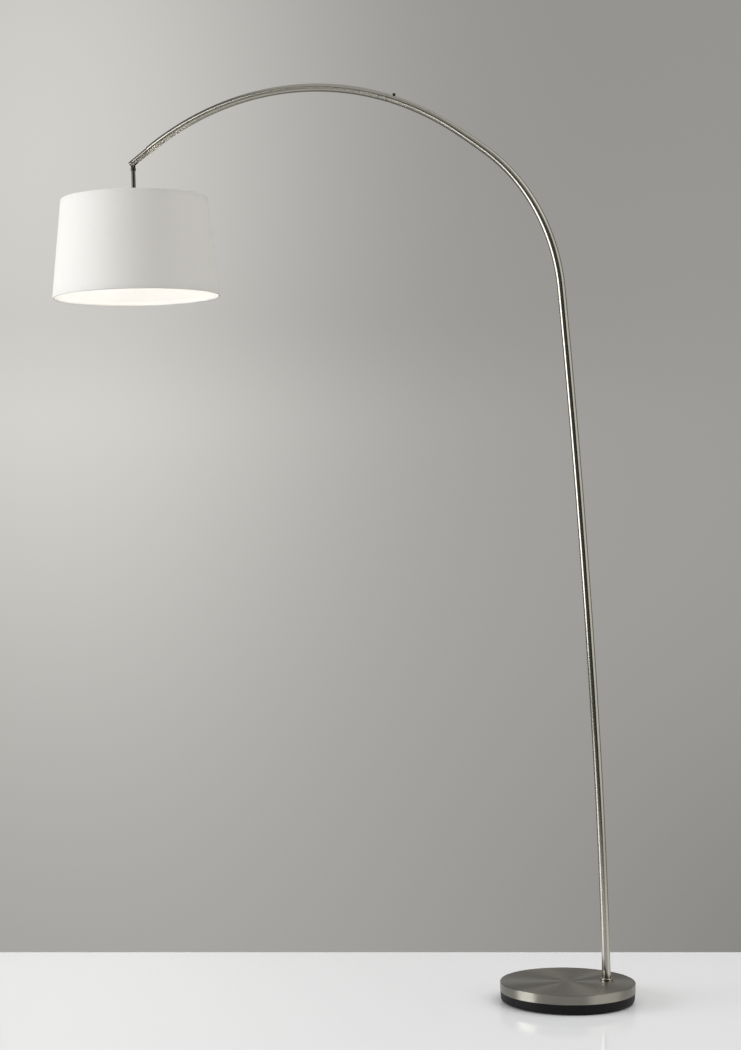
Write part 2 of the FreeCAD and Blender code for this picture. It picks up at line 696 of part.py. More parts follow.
CONTACT_TOP = SOCKET_TOP + SOCKET_FLOOR
SHELL_LENGTH = 26.0
nodes["knuckle"] = hang(knuckle())
nodes["stem_tube"] = hang(ring(STEM_RADIUS, STEM_BORE, -STEM_BOTTOM, -STEM_TOP))
nodes["socket_cap"] = hang(socket_cap())
nodes["socket_body"] = hang(socket_body())
nodes["screw_shell"] = hang(
    ring(SHELL_RADIUS, SHELL_RADIUS - 0.6, -CONTACT_TOP - SHELL_LENGTH, -CONTACT_TOP))
nodes["centre_contact"] = hang(rod(4.0, down(CONTACT_TOP + 2.0), down(CONTACT_TOP)))
nodes["switch_body"] = hang(switch_body())
nodes["switch_shaft"] = hang(rod(
    SWITCH_SHAFT, Vector(2.0, 0, -SWITCH_DEPTH), Vector(KNOB_START + KNOB_BORE, 0, -SWITCH_DEPTH)))
nodes["switch_knob"] = hang(switch_knob())
nodes["shade_ring"] = hang(shade_ring())
nodes["bulb_cap"] = hang(bulb_cap())
nodes["bulb_glass"] = hang(bulb_glass())


# ---- Shade ----

SLANT = math.atan2(SHADE_BOTTOM_RADIUS - SHADE_TOP_RADIUS, SHADE_HEIGHT)
SLANT_LENGTH = SHADE_HEIGHT / math.cos(SLANT)
RIM = RIM_WIRE + SHADE_WALL
SPOKE_RADIUS = 1.5
SPOKE_ROOM = 0.5
SPOKE_LEVEL = -FITTER_TOP - FITTER_THICKNESS + 1.6
SPOKE_START = 23.4
SPOKE_KNEE = 22.0


def slanted(along, inside):
    """Radius and height of a point given along the shade's outer slope from its foot, and inside it."""
    radius = SHADE_BOTTOM_RADIUS - along * math.sin(SLANT) - inside * math.cos(SLANT)
    height = along * math.cos(SLANT) - inside * math.sin(SLANT) - SHADE_TOP - SHADE_HEIGHT
    return radius, height


def shade_cloth():
    """Cone of lined cloth whose two edges roll inwards over the wire rings."""
    top = SLANT_LENGTH - RIM
    gap = 2 * RIM - SHADE_WALL
    return turned(
        slanted(RIM, 0), slanted(top, 0), (slanted(SLANT_LENGTH, RIM), slanted(top, 2 * RIM)),
        slanted(top - RIM_TURN_IN, 2 * RIM), slanted(top - RIM_TURN_IN, gap), slanted(top, gap),
        (slanted(SLANT_LENGTH - SHADE_WALL, RIM), slanted(top, SHADE_WALL)), slanted(RIM, SHADE_WALL),
        (slanted(SHADE_WALL, RIM), slanted(RIM, gap)), slanted(RIM + RIM_TURN_IN, gap),
        slanted(RIM + RIM_TURN_IN, 2 * RIM), slanted(RIM, 2 * RIM), (slanted(0, RIM), slanted(RIM, 0)))


def rim_wire(along):
    """Steel wire ring inside a rolled edge."""
    radius, height = slanted(along, RIM)
    return Part.makeTorus(radius, RIM_WIRE - 0.05, Vector(0, 0, height), UP)


def spokes(thickness):
    """Three arms from the fitter up and out to the top ring."""
    ring_radius, ring_height = slanted(SLANT_LENGTH - RIM, RIM)
    inner = Vector(SPOKE_START, 0, SPOKE_LEVEL)
    knee = Vector(ring_radius - SPOKE_KNEE, 0, SPOKE_LEVEL)
    outer = Vector(ring_radius, 0, ring_height)
    arm = rod(thickness, inner, knee).fuse([rod(thickness, knee, outer), Part.makeSphere(thickness, knee)])
    arm.rotate(Vector(), UP, 60)
    return spun(arm, SPOKE_COUNT)


def shade_frame():
    """Welded top frame: fitter, three arms and the top wire ring."""
    fitter = ring(24.5, SOCKET_RADIUS + 0.3, -FITTER_TOP - FITTER_THICKNESS, -FITTER_TOP)
    bore = rod(SOCKET_RADIUS + 0.3, down(FITTER_TOP + 5.0), down(FITTER_TOP - 3.0))
    frame = rim_wire(SLANT_LENGTH - RIM).fuse([fitter] + spokes(SPOKE_RADIUS))
    return frame.cut(bore)


nodes["shade_cloth"] = hang(shade_cloth().cut(spokes(SPOKE_RADIUS + SPOKE_ROOM)))
nodes["shade_frame"] = hang(shade_frame())
nodes["shade_bottom_wire"] = hang(rim_wire(RIM))


# ---- Cable, cut where it crosses the two joints ----

def stand_cable():
    """Lead from the outlet through the base, then up the pole to just short of the slide tube."""
    height = GLAND_HEIGHT - 1.0
    turn_up = 12.0
    fillet = 30.0
    ease = 500.0
    lean = math.radians(FOOT_LEAN)
    upright = FOOT + Vector(ease * (1 - math.cos(lean)), 0, -ease * math.sin(lean))
    easing = FOOT + Vector(ease * (math.cos(lean / 2) - math.cos(lean)), 0,
                           ease * (math.sin(lean / 2) - math.sin(lean)))
    start = Vector(0, GLAND_INNER_END - 3.0, height)
    corner = OUTLET_BEND + UP * height
    below = Vector(upright.x, upright.y, height)
    run = (below - corner).normalize()
    angle = math.acos(run.dot(-ACROSS))
    reach = fillet * math.tan(angle / 2)
    first = corner + ACROSS * reach
    second = corner + run * reach
    middle_way = (first + second) * 0.5 - corner
    bulge = fillet / math.cos(angle / 2) - fillet
    middle = corner + middle_way.normalize() * bulge
    third = below - run * turn_up
    raised = below + UP * turn_up
    quarter = below - run * (turn_up * (1 - math.sin(math.pi / 4))) + UP * (turn_up * (1 - math.cos(math.pi / 4)))
    edges = [
        Part.makeLine(start, first), Part.Arc(first, middle, second).toShape(), Part.makeLine(second, third),
        Part.Arc(third, quarter, raised).toShape(), Part.makeLine(raised, upright),
        Part.Arc(upright, easing, FOOT).toShape()]
    section = Part.Wire(Part.makeCircle(CABLE_RADIUS, start, -ACROSS))
    low = Part.Wire(edges).makePipeShell([section], True, True)
    high = bow.bar(0, SLIDE_TAIL - CABLE_GAP, CABLE_RADIUS)
    return low.fuse(high).removeSplitter()


nodes["stand_cable"] = stand_cable()
nodes["arm_cable"] = bow.bar(SLIDE_TAIL, ROD_END - SLOT_DEPTH - 1.0, CABLE_RADIUS)
nodes["head_cable"] = hang(rod(CABLE_RADIUS, down(SWITCH_DEPTH - 3.0), down(STEM_TOP + 1.0)))

os.makedirs("parts", exist_ok=True)
for node, shape in nodes.items():
    shape.exportStep("parts/%s.step" % node)
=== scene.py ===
"""Adjustable arm floor lamp: finishes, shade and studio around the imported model, in metres."""
import json
import math

import bmesh
import bpy
from mathutils import Matrix, Vector


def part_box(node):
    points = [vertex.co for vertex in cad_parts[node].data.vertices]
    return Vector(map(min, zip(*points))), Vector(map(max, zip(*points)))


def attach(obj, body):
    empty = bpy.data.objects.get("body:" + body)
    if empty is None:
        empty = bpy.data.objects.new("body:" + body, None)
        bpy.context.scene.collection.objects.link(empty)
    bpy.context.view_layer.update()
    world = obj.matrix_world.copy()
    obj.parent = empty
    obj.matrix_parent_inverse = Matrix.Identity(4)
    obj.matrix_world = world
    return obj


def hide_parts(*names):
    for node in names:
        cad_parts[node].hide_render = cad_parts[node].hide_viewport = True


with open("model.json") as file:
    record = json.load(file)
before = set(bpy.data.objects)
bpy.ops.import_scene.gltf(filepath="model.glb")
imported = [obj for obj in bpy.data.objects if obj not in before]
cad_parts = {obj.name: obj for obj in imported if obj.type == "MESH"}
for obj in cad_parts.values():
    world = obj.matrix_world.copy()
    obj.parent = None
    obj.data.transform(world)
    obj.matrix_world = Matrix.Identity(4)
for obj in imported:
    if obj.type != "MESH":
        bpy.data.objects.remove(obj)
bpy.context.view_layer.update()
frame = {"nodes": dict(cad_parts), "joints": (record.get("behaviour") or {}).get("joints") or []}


# ---- Camera ----
# A studio camera with a long lens, on a stand at about half the lamp's height.
# It stands to the lamp's front, 25 degrees round, and looks very slightly down.

VIEW_TURN = math.radians(25.0)
CAMERA_DISTANCE = 4.989
CAMERA_SIDE = -0.438
CAMERA_HEIGHT = 1.0994
CAMERA_PITCH = math.radians(0.484)
LENS = 77.14
SENSOR = 36.0

ahead = Vector((-math.sin(VIEW_TURN), math.cos(VIEW_TURN), 0.0))
rightward = Vector((math.cos(VIEW_TURN), math.sin(VIEW_TURN), 0.0))
upward = Vector((0.0, 0.0, 1.0))
camera_data = bpy.data.cameras.new("studio_camera")
camera_data.lens = LENS
camera_data.sensor_width = SENSOR
camera_data.clip_end = 60.0
camera = bpy.data.objects.new("studio_camera", camera_data)
camera.location = -ahead * CAMERA_DISTANCE + rightward * CAMERA_SIDE + upward * CAMERA_HEIGHT
gaze = ahead * math.cos(CAMERA_PITCH) - upward * math.sin(CAMERA_PITCH)
camera.rotation_euler = gaze.to_track_quat("-Z", "Y").to_euler()
bpy.context.scene.collection.objects.link(camera)
bpy.context.scene.camera = camera
bpy.context.scene.view_settings.view_transform = "Standard"


# ---- Floor ----
# A low table top of white satin board, laid flat and cut straight behind the lamp, with painted shade far
# out.
# Its thin lacquer catches a soft mirror of the foot.

class Flow:
    """One output of a shader node; sums on it add the nodes that work them out."""

    def __init__(self, tree, socket=None):
        self.tree = tree
        self.socket = socket

    def node(self, kind, settings, sockets, output=0):
        """Adds any node: its type, its settings, and what each of its sockets is given."""
        made = self.tree.nodes.new(kind)
        for setting, value in settings.items():
            setattr(made, setting, value)
        for name, value in sockets.items():
            if isinstance(value, Flow):
                self.tree.links.new(value.socket, made.inputs[name])
            else:
                made.inputs[name].default_value = value
        return Flow(self.tree, made.outputs[output] if made.outputs else None)

    def maths(self, operation, *values):
        """A Math node on self and these values."""
        return self.node("ShaderNodeMath", {"operation": operation}, dict(enumerate((self,) + values)))

    def __add__(self, other):
        return self.maths("ADD", other)

    __radd__ = __add__

    def __sub__(self, other):
        return self.maths("SUBTRACT", other)

    def __rsub__(self, other):
        return self * -1.0 + other

    def __mul__(self, other):
        return self.maths("MULTIPLY", other)

    __rmul__ = __mul__

    def __truediv__(self, other):
        return self.maths("DIVIDE", other)

    def __pow__(self, other):
        return self.maths("POWER", other)

    def rise(self, low, high):
        """0 below low, 1 above high, and smooth between."""
        return self.node("ShaderNodeMapRange", {"interpolation_type": "SMOOTHSTEP"},
                         {"Value": self, "From Min": low, "From Max": high})

    def blend(self, first, second):
        """Mix of two colours, self being how much there is of the second."""
        return self.node("ShaderNodeMix", {"data_type": "RGBA"}, {0: self, 6: first, 7: second}, 2)

    def apart(self):
        """The X, Y and Z of a vector."""
        split = self.node("ShaderNodeSeparateXYZ", {}, {"Vector": self})
        return [Flow(self.tree, output) for output in split.socket.node.outputs]

    def noise(self, scale, detail=2.0, settings=None):
        """Cloudy noise read at this vector, from 0 to 1."""
        return self.node("ShaderNodeTexNoise", settings or {},
                         {"Vector": self, "Scale": scale, "Detail": detail})

    def lines(self, pitch, detail=3.0):
        """Noise along one length, as fine scratches side by side."""
        return self.node("ShaderNodeTexNoise", {"noise_dimensions": "1D"},
                         {"W": self / pitch, "Scale": 1.0, "Detail": detail})

    def relief(self, depth, strength=1.0):
        """Normal of a surface that stands out by this height times depth."""
        return self.node("ShaderNodeBump", {}, {"Height": self, "Distance": depth, "Strength": strength})

    def surface(self, sockets):
        """A Principled shader with these sockets as the material's surface."""
        skin = self.node("ShaderNodeBsdfPrincipled", {}, sockets)
        self.node("ShaderNodeOutputMaterial", {}, {"Surface": skin})


def paint(red, green, blue):
    """Colour from its 0 to 255 display values."""
    levels = [level / 255.0 for level in (red, green, blue)]
    return tuple(level / 12.92 if level <= 0.04045 else ((level + 0.055) / 1.055) ** 2.4
                 for level in levels) + (1.0,)


def new_finish(name):
    """An empty material, and where on the piece each of its points lies."""
    material = bpy.data.materials.new(name)
    material.use_nodes = True
    material.node_tree.nodes.clear()
    spot = Flow(material.node_tree).node("ShaderNodeTexCoord", {}, {}, "Object")
    return material, spot


FLOOR_BEHIND = 0.545
FLOOR_AHEAD = 3.6
FLOOR_SIDE = 4.2

board, spot = new_finish("satin_board")
east, north, _ = spot.apart()
reach = (east * east + north * north) ** 0.5
# Painted light falloff: white near the lamp, painted down to grey from 1.2 to 3.4 m out, plus a little
# random tone.
tone_and_painted_falloff = (spot.noise(1.3, 1.0) - 0.5) * 0.05 + reach.rise(1.2, 3.4)
mottle = spot.noise(420.0, 2.0)
spot.surface({
    "Base Color": tone_and_painted_falloff.blend(paint(238, 239, 241), paint(160, 160, 159)),
    "Roughness": 0.06 + mottle * 0.04,
    "Normal": mottle.relief(0.00002),
    "Specular IOR Level": 0.5,
})
table = bpy.data.meshes.new("floor")
table.from_pydata([
    rightward * side + ahead * depth
    for side, depth in ((-FLOOR_SIDE, -FLOOR_AHEAD), (FLOOR_SIDE, -FLOOR_AHEAD),
                        (FLOOR_SIDE, FLOOR_BEHIND), (-FLOOR_SIDE, FLOOR_BEHIND))
], [], [(0, 1, 2, 3)])
table.materials.append(board)
floor = bpy.data.objects.new("floor", table)
bpy.context.scene.collection.objects.link(floor)


# ---- Room ----
# Grey paper hangs far behind the lamp, with a pool of light on it and the lit shade's glow lower down.
# The steel also mirrors a dim room in front, a black flag in it and a pale wall to the right.

world = bpy.data.worlds.new("studio_room")
world.use_nodes = True
world.node_tree.nodes.clear()
bpy.context.scene.world = world
ray = Flow(world.node_tree).node("ShaderNodeTexCoord", {}, {}, "Generated")


def along(ray, direction):
    """How far a ray goes along a direction."""
    return ray.node("ShaderNodeVectorMath", {"operation": "DOT_PRODUCT"},
                    {0: ray, 1: direction}, "Value")


def hump(value, middle, width):
    """Bell curve of a value, 1 at its middle."""
    off = (value - middle) / width
    return (off * off * -1.0).maths("EXPONENT")


depth = along(ray, ahead)
side = along(ray, rightward)
rise = along(ray, upward)
turn = side.maths("ARCTAN2", depth)
# The paper's own level, with a pool of light, two slopes, the shade's glow and a dim corner.
PAPER_LEVEL = 0.22
POOL_GAIN = 0.49
RIGHTWARD_GAIN = 0.16
UPWARD_LOSS = 0.08
GLOW_GAIN = 0.11
CORNER_LOSS = 0.15
pool = hump(turn, -0.15, 0.14) * hump(rise, 0.16, 0.24)
glow = (1.0 - rise.rise(0.03, 0.09)) * hump(turn, -0.14, 0.19)
corner = hump(turn, 0.21, 0.17) * hump(rise, -0.22, 0.15)
paper = (PAPER_LEVEL + pool * POOL_GAIN + turn.rise(-0.17, 0.17) * RIGHTWARD_GAIN
         - rise.rise(-0.2, 0.22) * UPWARD_LOSS + glow * GLOW_GAIN - corner * CORNER_LOSS)

ROOM_LEVEL = 0.2
WALL_GAIN = 0.8
DIM_LOSS = 0.6
FLAG_LOSS = 0.97
PLAIN_LEVEL = 0.25
from_camera = side.maths("ARCTAN2", depth * -1.0)
dim_room = from_camera.rise(-0.95, -0.7) * (1.0 - from_camera.rise(0.55, 0.6))
black_flag = from_camera.rise(0.15, 0.19) * (1.0 - from_camera.rise(0.55, 0.6))
pale_wall = from_camera.rise(0.55, 0.6) * (1.0 - from_camera.rise(1.4, 1.9))
behind = turn.maths("ABSOLUTE").rise(0.5, 0.9)
room = (ROOM_LEVEL + pale_wall * WALL_GAIN) * (1.0 - dim_room * DIM_LOSS) * (1.0 - black_flag * FLAG_LOSS)
# Seen straight on, the rest of the room is plain grey paper; only the steel sees the flags and the wall.
straight_on = ray.node("ShaderNodeLightPath", {}, {}, "Is Camera Ray")
room = room * (1.0 - straight_on) + straight_on * PLAIN_LEVEL
level = paper * (1.0 - behind) + room * behind
tone = level.blend((0.0, 0.0, 0.0, 1.0), (1.0, 0.981, 0.934, 1.0))
sky = ray.node("ShaderNodeBackground", {}, {"Color": tone, "Strength": 1.0})
ray.node("ShaderNodeOutputWorld", {}, {"Surface": sky})


# ---- Lights ----
# A tall soft box to the left of the camera and a wide one overhead, each with a helper that the steel
# doesn't mirror, so that it shows the boxes themselves. A screened lamp evens out the floor at the right.

def soft_box(name, place, target, width, height, watts, mirrored=True, only=None):
    """Area light that faces a point; a screened one lights a single object."""
    lamp = bpy.data.lights.new(name, "AREA")
    lamp.shape = "RECTANGLE"
    lamp.size = width
    lamp.size_y = height
    lamp.energy = watts
    holder = bpy.data.objects.new(name, lamp)
    holder.location = place
    holder.rotation_euler = (target - place).to_track_quat("-Z", "Y").to_euler()
    holder.visible_glossy = mirrored
    if only:
        screened = bpy.data.collections.new(name)
        screened.objects.link(only)
        holder.light_linking.receiver_collection = screened
    bpy.context.scene.collection.objects.link(holder)


KEY_WATTS = 235.0
KEY_HELPER_WATTS = 300.0
TOP_WATTS = 25.0
TOP_HELPER_WATTS = 85.0
FLOOR_HELPER_WATTS = 70.0
KEY_TURN = math.radians(-54.5)
KEY_DISTANCE = 7.5
KEY_WIDTH = 4.7
KEY_HEIGHT = 4.4
middle = Vector((-0.4, 0.0, 1.2))
key_place = Vector((math.sin(KEY_TURN), -math.cos(KEY_TURN), 0.0)) * KEY_DISTANCE + upward * 2.25
soft_box("key_light", key_place, middle, KEY_WIDTH, KEY_HEIGHT, KEY_WATTS)
soft_box("key_helper", key_place, middle, KEY_WIDTH, KEY_HEIGHT, KEY_HELPER_WATTS, False)
TOP_SIZE = 4.5
top_place = Vector((0.1, -0.6, 3.9))
below_top = Vector((top_place.x, top_place.y, 0.0))
soft_box("top_light", top_place, below_top, TOP_SIZE, TOP_SIZE, TOP_WATTS)
soft_box("top_helper", top_place, below_top, TOP_SIZE, TOP_SIZE, TOP_HELPER_WATTS, False)
far_place = rightward * 2.2 + ahead * 0.6 + upward * 3.5
far_target = rightward * 1.6 + ahead * 0.6
soft_box("floor_helper", far_place, far_target, TOP_SIZE, TOP_SIZE, FLOOR_HELPER_WATTS, False, floor)


# ---- Floor pad ----
# A disc of dark needle felt under the foot, so that it doesn't mark a floor.
# It is punched from sheet and glued into the pan.

def wear(material, *names):
    """Puts a finish on CAD pieces."""
    for name in names:
        for place in frame["nodes"][name].material_slots:
            place.material = material


felt, spot = new_finish("needle_felt")
fibres = spot.noise(900.0, 6.0)
clumps = spot.noise(60.0, 3.0)
spot.surface({
    "Base Color": (fibres * 0.6 + clumps * 0.4).blend(paint(24, 24, 25), paint(62, 61, 60)),
    "Roughness": 0.92 + fibres * 0.06,
    "Normal": fibres.relief(0.0006),
    "Sheen Weight": 0.35,
})
wear(felt, "floor_pad")


# ---- Base pan ----
# A black moulded tub that closes the foot from below, spark-textured outside.
# Zinc-plated screws hold it up against the weight.

plastic, spot = new_finish("spark_textured_plastic")
grain = spot.noise(1500.0, 2.0)
scuffs = spot.noise(35.0, 5.0)
spot.surface({
    "Base Color": scuffs.blend(paint(9, 9, 11), paint(17, 17, 19)),
    "Roughness": 0.44 + grain * 0.16,
    "Normal": grain.relief(0.00005),
    "Specular IOR Level": 0.2,
})
wear(plastic, "base_pan")

zinc, spot = new_finish("zinc_plate")
spangle = spot.noise(240.0, 3.0)
turning = spot.apart()[2].lines(0.0002)
spot.surface({
    "Base Color": spangle.blend(paint(168, 171, 174), paint(200, 202, 205)),
    "Metallic": 1.0,
    "Roughness": 0.28 + spangle * 0.12 + turning * 0.06,
    "Normal": turning.relief(0.00001),
})
wear(zinc, "pan_screws")


# ---- Weight ----
# A heavy iron disc inside the foot, which keeps the lamp standing under its long reach.
# It is sand cast and brushed with thin black primer, with a little rust.

iron, spot = new_finish("cast_iron")
sand = spot.noise(700.0, 4.0)
rust = spot.noise(18.0, 4.0).rise(0.62, 0.8)
spot.surface({
    "Base Color": (rust * sand).blend(paint(46, 45, 44), paint(98, 66, 48)),
    "Metallic": 0.55 - rust * 0.4,
    "Roughness": 0.6 + sand * 0.25,
    "Normal": sand.relief(0.0005),
})
wear(iron, "base_weight")


# ---- Base cover ----
# Steel sheet spun to a shallow cap that hides the weight.
# Its top and skirt are brushed on a turntable, in fine rings, and lacquered satin.

def brushed(name, turned_along, dark, light, rough, rings=0.00035, depth=0.000001, swirl=0.0,
            swirl_turn=0.0):
    """Satin steel whose fine lines lie across the given length."""
    material, spot = new_finish(name)
    length = turned_along(*spot.apart())
    fine = length.lines(rings)
    broad = length.lines(rings * 60.0, 1.0)
    handled = spot.noise(9.0, 3.0)
    spot.surface({
        "Base Color": (fine * 0.55 + broad * 0.3 + handled * 0.15).blend(dark, light),
        "Metallic": 1.0,
        "Roughness": rough + (fine - 0.5) * 0.05 + (handled - 0.5) * 0.04,
        "Normal": fine.relief(depth),
        "Anisotropic": swirl,
        "Anisotropic Rotation": swirl_turn,
    })
    return material


def round_the_base(east, north, height):
    """Out from the middle of the cap and down its skirt."""
    return (east * east + north * north) ** 0.5 - height


wear(brushed("spun_cap_steel", round_the_base, paint(145, 142, 134), paint(170, 167, 158), 0.4,
             depth=0.000002, swirl=0.9, swirl_turn=0.25), "base_cover")


# ---- Cord outlet ----
# A soft black rubber grommet in the back of the pan, where the supply cord would enter.
# It is moulded with a groove and pressed into its hole.

rubber, spot = new_finish("black_rubber")
bloom = spot.noise(120.0, 4.0)
spot.surface({
    "Base Color": bloom.blend(paint(17, 17, 17), paint(33, 33, 32)),
    "Roughness": 0.62 + bloom * 0.2,
    "Normal": bloom.relief(0.0001),
})
wear(rubber, "cord_gland")


# ---- Foot fixing ----
# A hollow threaded nipple with its washers and nut draws the pole's plug down through cap and weight.
# These are turned and pressed steel, zinc-plated; the collar round the pole is brushed as the pole is.

wear(zinc, "foot_nut", "foot_spring_washer", "foot_flat_washer", "foot_nipple", "foot_plug")


def up_the_pole(east, north, height):
    """Height."""
    return height


POLE_DARK = paint(169, 166, 157)
POLE_LIGHT = paint(187, 184, 174)
pole_steel = brushed("brushed_pole_steel", up_the_pole, POLE_DARK, POLE_LIGHT, 0.15, depth=0.0000005)
wear(pole_steel, "foot_collar")


# ---- Pole ----
# Two lengths of thin steel tube, ringed by a rotary brush and lacquered.
# A threaded bush and stud inside join them at a fine seam.

wear(pole_steel, "lower_pole", "upper_pole")
wear(zinc, "pole_seam_bush", "pole_seam_stud")


# ---- Outer arc tube ----
# The third length of the same steel tube, drawn into the bow; its brush lines still run round the tube.
# A nylon bush in its mouth guides the arm.

ARC_CENTRE = frame["joints"][0]["pos_m"]
ARC_RADIUS = 0.737


def round_the_arc(east, north, height):
    """Length along the bow."""
    return (height - ARC_CENTRE[2]).maths("ARCTAN2", east - ARC_CENTRE[0]) * ARC_RADIUS


bow_steel = brushed("brushed_bow_steel", round_the_arc, POLE_DARK, POLE_LIGHT, 0.2, depth=0.0000003)
wear(bow_steel, "arc_tube")
wear(zinc, "arc_seam_bush", "arc_seam_stud")

nylon, spot = new_finish("turned_nylon")
cloud = spot.noise(50.0, 3.0)
spot.surface({
    "Base Color": cloud.blend(paint(214, 211, 200), paint(232, 230, 222)),
    "Roughness": 0.4 + cloud * 0.15,
    "Normal": spot.apart()[2].lines(0.0003).relief(0.00001),
    "Subsurface Weight": 0.15,
    "Subsurface Scale": 0.004,
})
wear(nylon, "glide_bush")


# ---- Sliding arm ----
# A slimmer inner tube glides in the bow, with the visible arm tube sleeved over it.
# A slotted steel rod closes its far end as a fork.

wear(bow_steel, "slide_tube", "arm_tube")
wear(zinc, "arm_sleeve")
wear(nylon, "tail_bush", "friction_washers")


def down_the_rod(east, north, height):
    """Length along the straight end of the arm."""
    return east * 0.8 + height * 0.6


wear(brushed("brushed_end_rod", down_the_rod, paint(120, 118, 112), paint(160, 157, 150), 0.24), "end_rod")


# ---- Lock screw ----
# A small blackened steel screw with a round grooved head.
# It is threaded into the bow and pinches the arm that slides there.

blackened, spot = new_finish("blackened_steel")
film = spot.noise(300.0, 4.0)
rubbed = spot.noise(45.0, 2.0).rise(0.55, 0.8)
spot.surface({
    "Base Color": (rubbed * 0.4 + film * 0.3).blend(paint(46, 45, 43), paint(112, 109, 103)),
    "Metallic": 1.0,
    "Roughness": 0.3 + film * 0.15,
    "Normal": film.relief(0.00001),
})
wear(blackened, "lock_screw")


# ---- Knuckle and stem ----
# The head hangs from a flat blackened eye, pinned in the arm's fork between friction washers.
# A thin dark steel tube is screwed into the eye and carries the lamp holder.

wear(blackened, "knuckle", "pivot_pin")
wear(brushed("dark_stem_steel", up_the_pole, paint(76, 74, 70), paint(112, 109, 104), 0.26), "stem_tube")


# ---- Socket and switch ----
# A spun steel cap on a black phenolic lamp holder, with a brass screw shell and contact inside.
# A turn knob stands out at its side, and a ring nut holds the shade's fitter on it.

wear(brushed("brushed_socket_cap", up_the_pole, POLE_DARK, POLE_LIGHT, 0.24), "socket_cap")

phenolic, spot = new_finish("black_phenolic")
swirls = spot.noise(26.0, 5.0, {"noise_dimensions": "3D"})
spot.surface({
    "Base Color": swirls.blend(paint(20, 19, 19), paint(36, 33, 31)),
    "Roughness": 0.24 + swirls * 0.14,
    "Normal": swirls.relief(0.00004),
    "IOR": 1.6,
})
wear(phenolic, "socket_body", "switch_body", "shade_ring", "switch_knob")
wear(zinc, "switch_shaft")

brass, spot = new_finish("drawn_brass")
tarnish = spot.noise(90.0, 4.0)
spot.surface({
    "Base Color": tarnish.blend(paint(206, 170, 96), paint(158, 122, 62)),
    "Metallic": 1.0,
    "Roughness": 0.24 + tarnish * 0.2,
    "Normal": tarnish.relief(0.00001),
})
wear(brass, "screw_shell", "centre_contact")


# ---- Bulb ----
# A blown opal glass globe cemented to a nickel-plated screw cap.
# It is lit: even white, a little dimmer towards its neck.

plated, spot = new_finish("nickel_plate")
solder = spot.noise(160.0, 3.0)
spot.surface({
    "Base Color": solder.blend(paint(176, 175, 170), paint(205, 203, 198)),
    "Metallic": 1.0,
    "Roughness": 0.22 + solder * 0.15,
})
wear(plated, "bulb_cap")

BULB_GLOW = 4.0
opal, spot = new_finish("lit_opal_glass")
bulb_low, bulb_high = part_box("bulb_glass")
height = spot.apart()[2]
neck = height.rise(bulb_high[2] - 0.028, bulb_high[2])
haze = spot.noise(70.0, 2.0)
spot.surface({
    "Base Color": haze.blend(paint(244, 243, 240), paint(250, 249, 247)),
    "Roughness": 0.12 + haze * 0.06,
    "Emission Color": (neck * 0.6 + haze * 0.05).blend((1.0, 0.955, 0.9, 1.0), (0.42, 0.36, 0.3, 1.0)),
    "Emission Strength": BULB_GLOW,
})
wear(opal, "bulb_glass")


# ---- Shade wires ----
# A welded wire frame with a fitter ring, three arms and the top ring, and a loose ring in the bottom hem.
# Both are dipped in white lacquer.

lacquer, spot = new_finish("white_lacquered_wire")
runs = spot.noise(140.0, 3.0)
spot.surface({
    "Base Color": runs.blend(paint(222, 221, 216), paint(236, 235, 231)),
    "Roughness": 0.3 + runs * 0.12,
    "Normal": runs.relief(0.00008),
    "Coat Weight": 0.3 + runs * 0.2,
})
wear(lacquer, "shade_frame", "shade_bottom_wire")


# ---- Shade ----
# Fine off-white linen laminated to a stiff clear liner, wrapped to a cone with a lapped seam at the back,
# and both edges rolled in over the wires and glued. The roll is notched where the three arms leave it.

SHADE_DROP = 0.088
SHADE_HEIGHT = 0.2418
TOP_RADIUS = 0.179
BOTTOM_RADIUS = 0.205
CLOTH = 0.0011
ROLL = 0.0027
HEM = 0.009
HEM_GAP = 0.0007
SEAM_LAP = 0.012
SEAM_STEP = 0.00045
SEAM_TURN = math.radians(112.0)
ARM_TURNS = [math.radians(turn) for turn in (60.0, 180.0, 300.0)]
NOTCH = 0.006
NOTCH_EASE = 0.004
LEAST_HEM = 0.06
SEAM_EDGE_TURN = 0.0008
FACE_STEPS = 14
AROUND = 288

SLOPE = math.atan2(BOTTOM_RADIUS - TOP_RADIUS, SHADE_HEIGHT)
SLANT = SHADE_HEIGHT / math.cos(SLOPE)


def cone_point(up, inward):
    """Radius and height of a point given up the cone's slope from its foot, and in from its face."""
    radius = BOTTOM_RADIUS - up * math.sin(SLOPE) - inward * math.cos(SLOPE)
    height = up * math.cos(SLOPE) - inward * math.sin(SLOPE) - SHADE_DROP - SHADE_HEIGHT
    return radius, height


def rolled_edge(wire, facing, hem, round_steps=9):
    """Section of an edge rolled round its wire, from the outer face to the inner one, hem between."""
    outside, inside = [], []
    for step in range(round_steps + 1):
        turn = math.pi * step / round_steps
        reach = math.sin(turn) * facing
        outside.append((wire + reach * ROLL, ROLL - math.cos(turn) * ROLL))
        inside.append((wire + reach * (ROLL - CLOTH), ROLL - math.cos(turn) * (ROLL - CLOTH)))
    hem_outside, hem_inside = [], []
    for share in (0.25, 0.5, 0.75, 1.0):
        ease = share * share * (3.0 - 2.0 * share)
        up = wire - facing * hem * share
        near = CLOTH + HEM_GAP
        hem_outside.append((up, 2 * ROLL + (near + CLOTH - 2 * ROLL) * ease))
        hem_inside.append((up, 2 * ROLL - CLOTH + (near + CLOTH - 2 * ROLL) * ease))
    return outside + hem_outside + hem_inside[::-1] + inside[::-1]


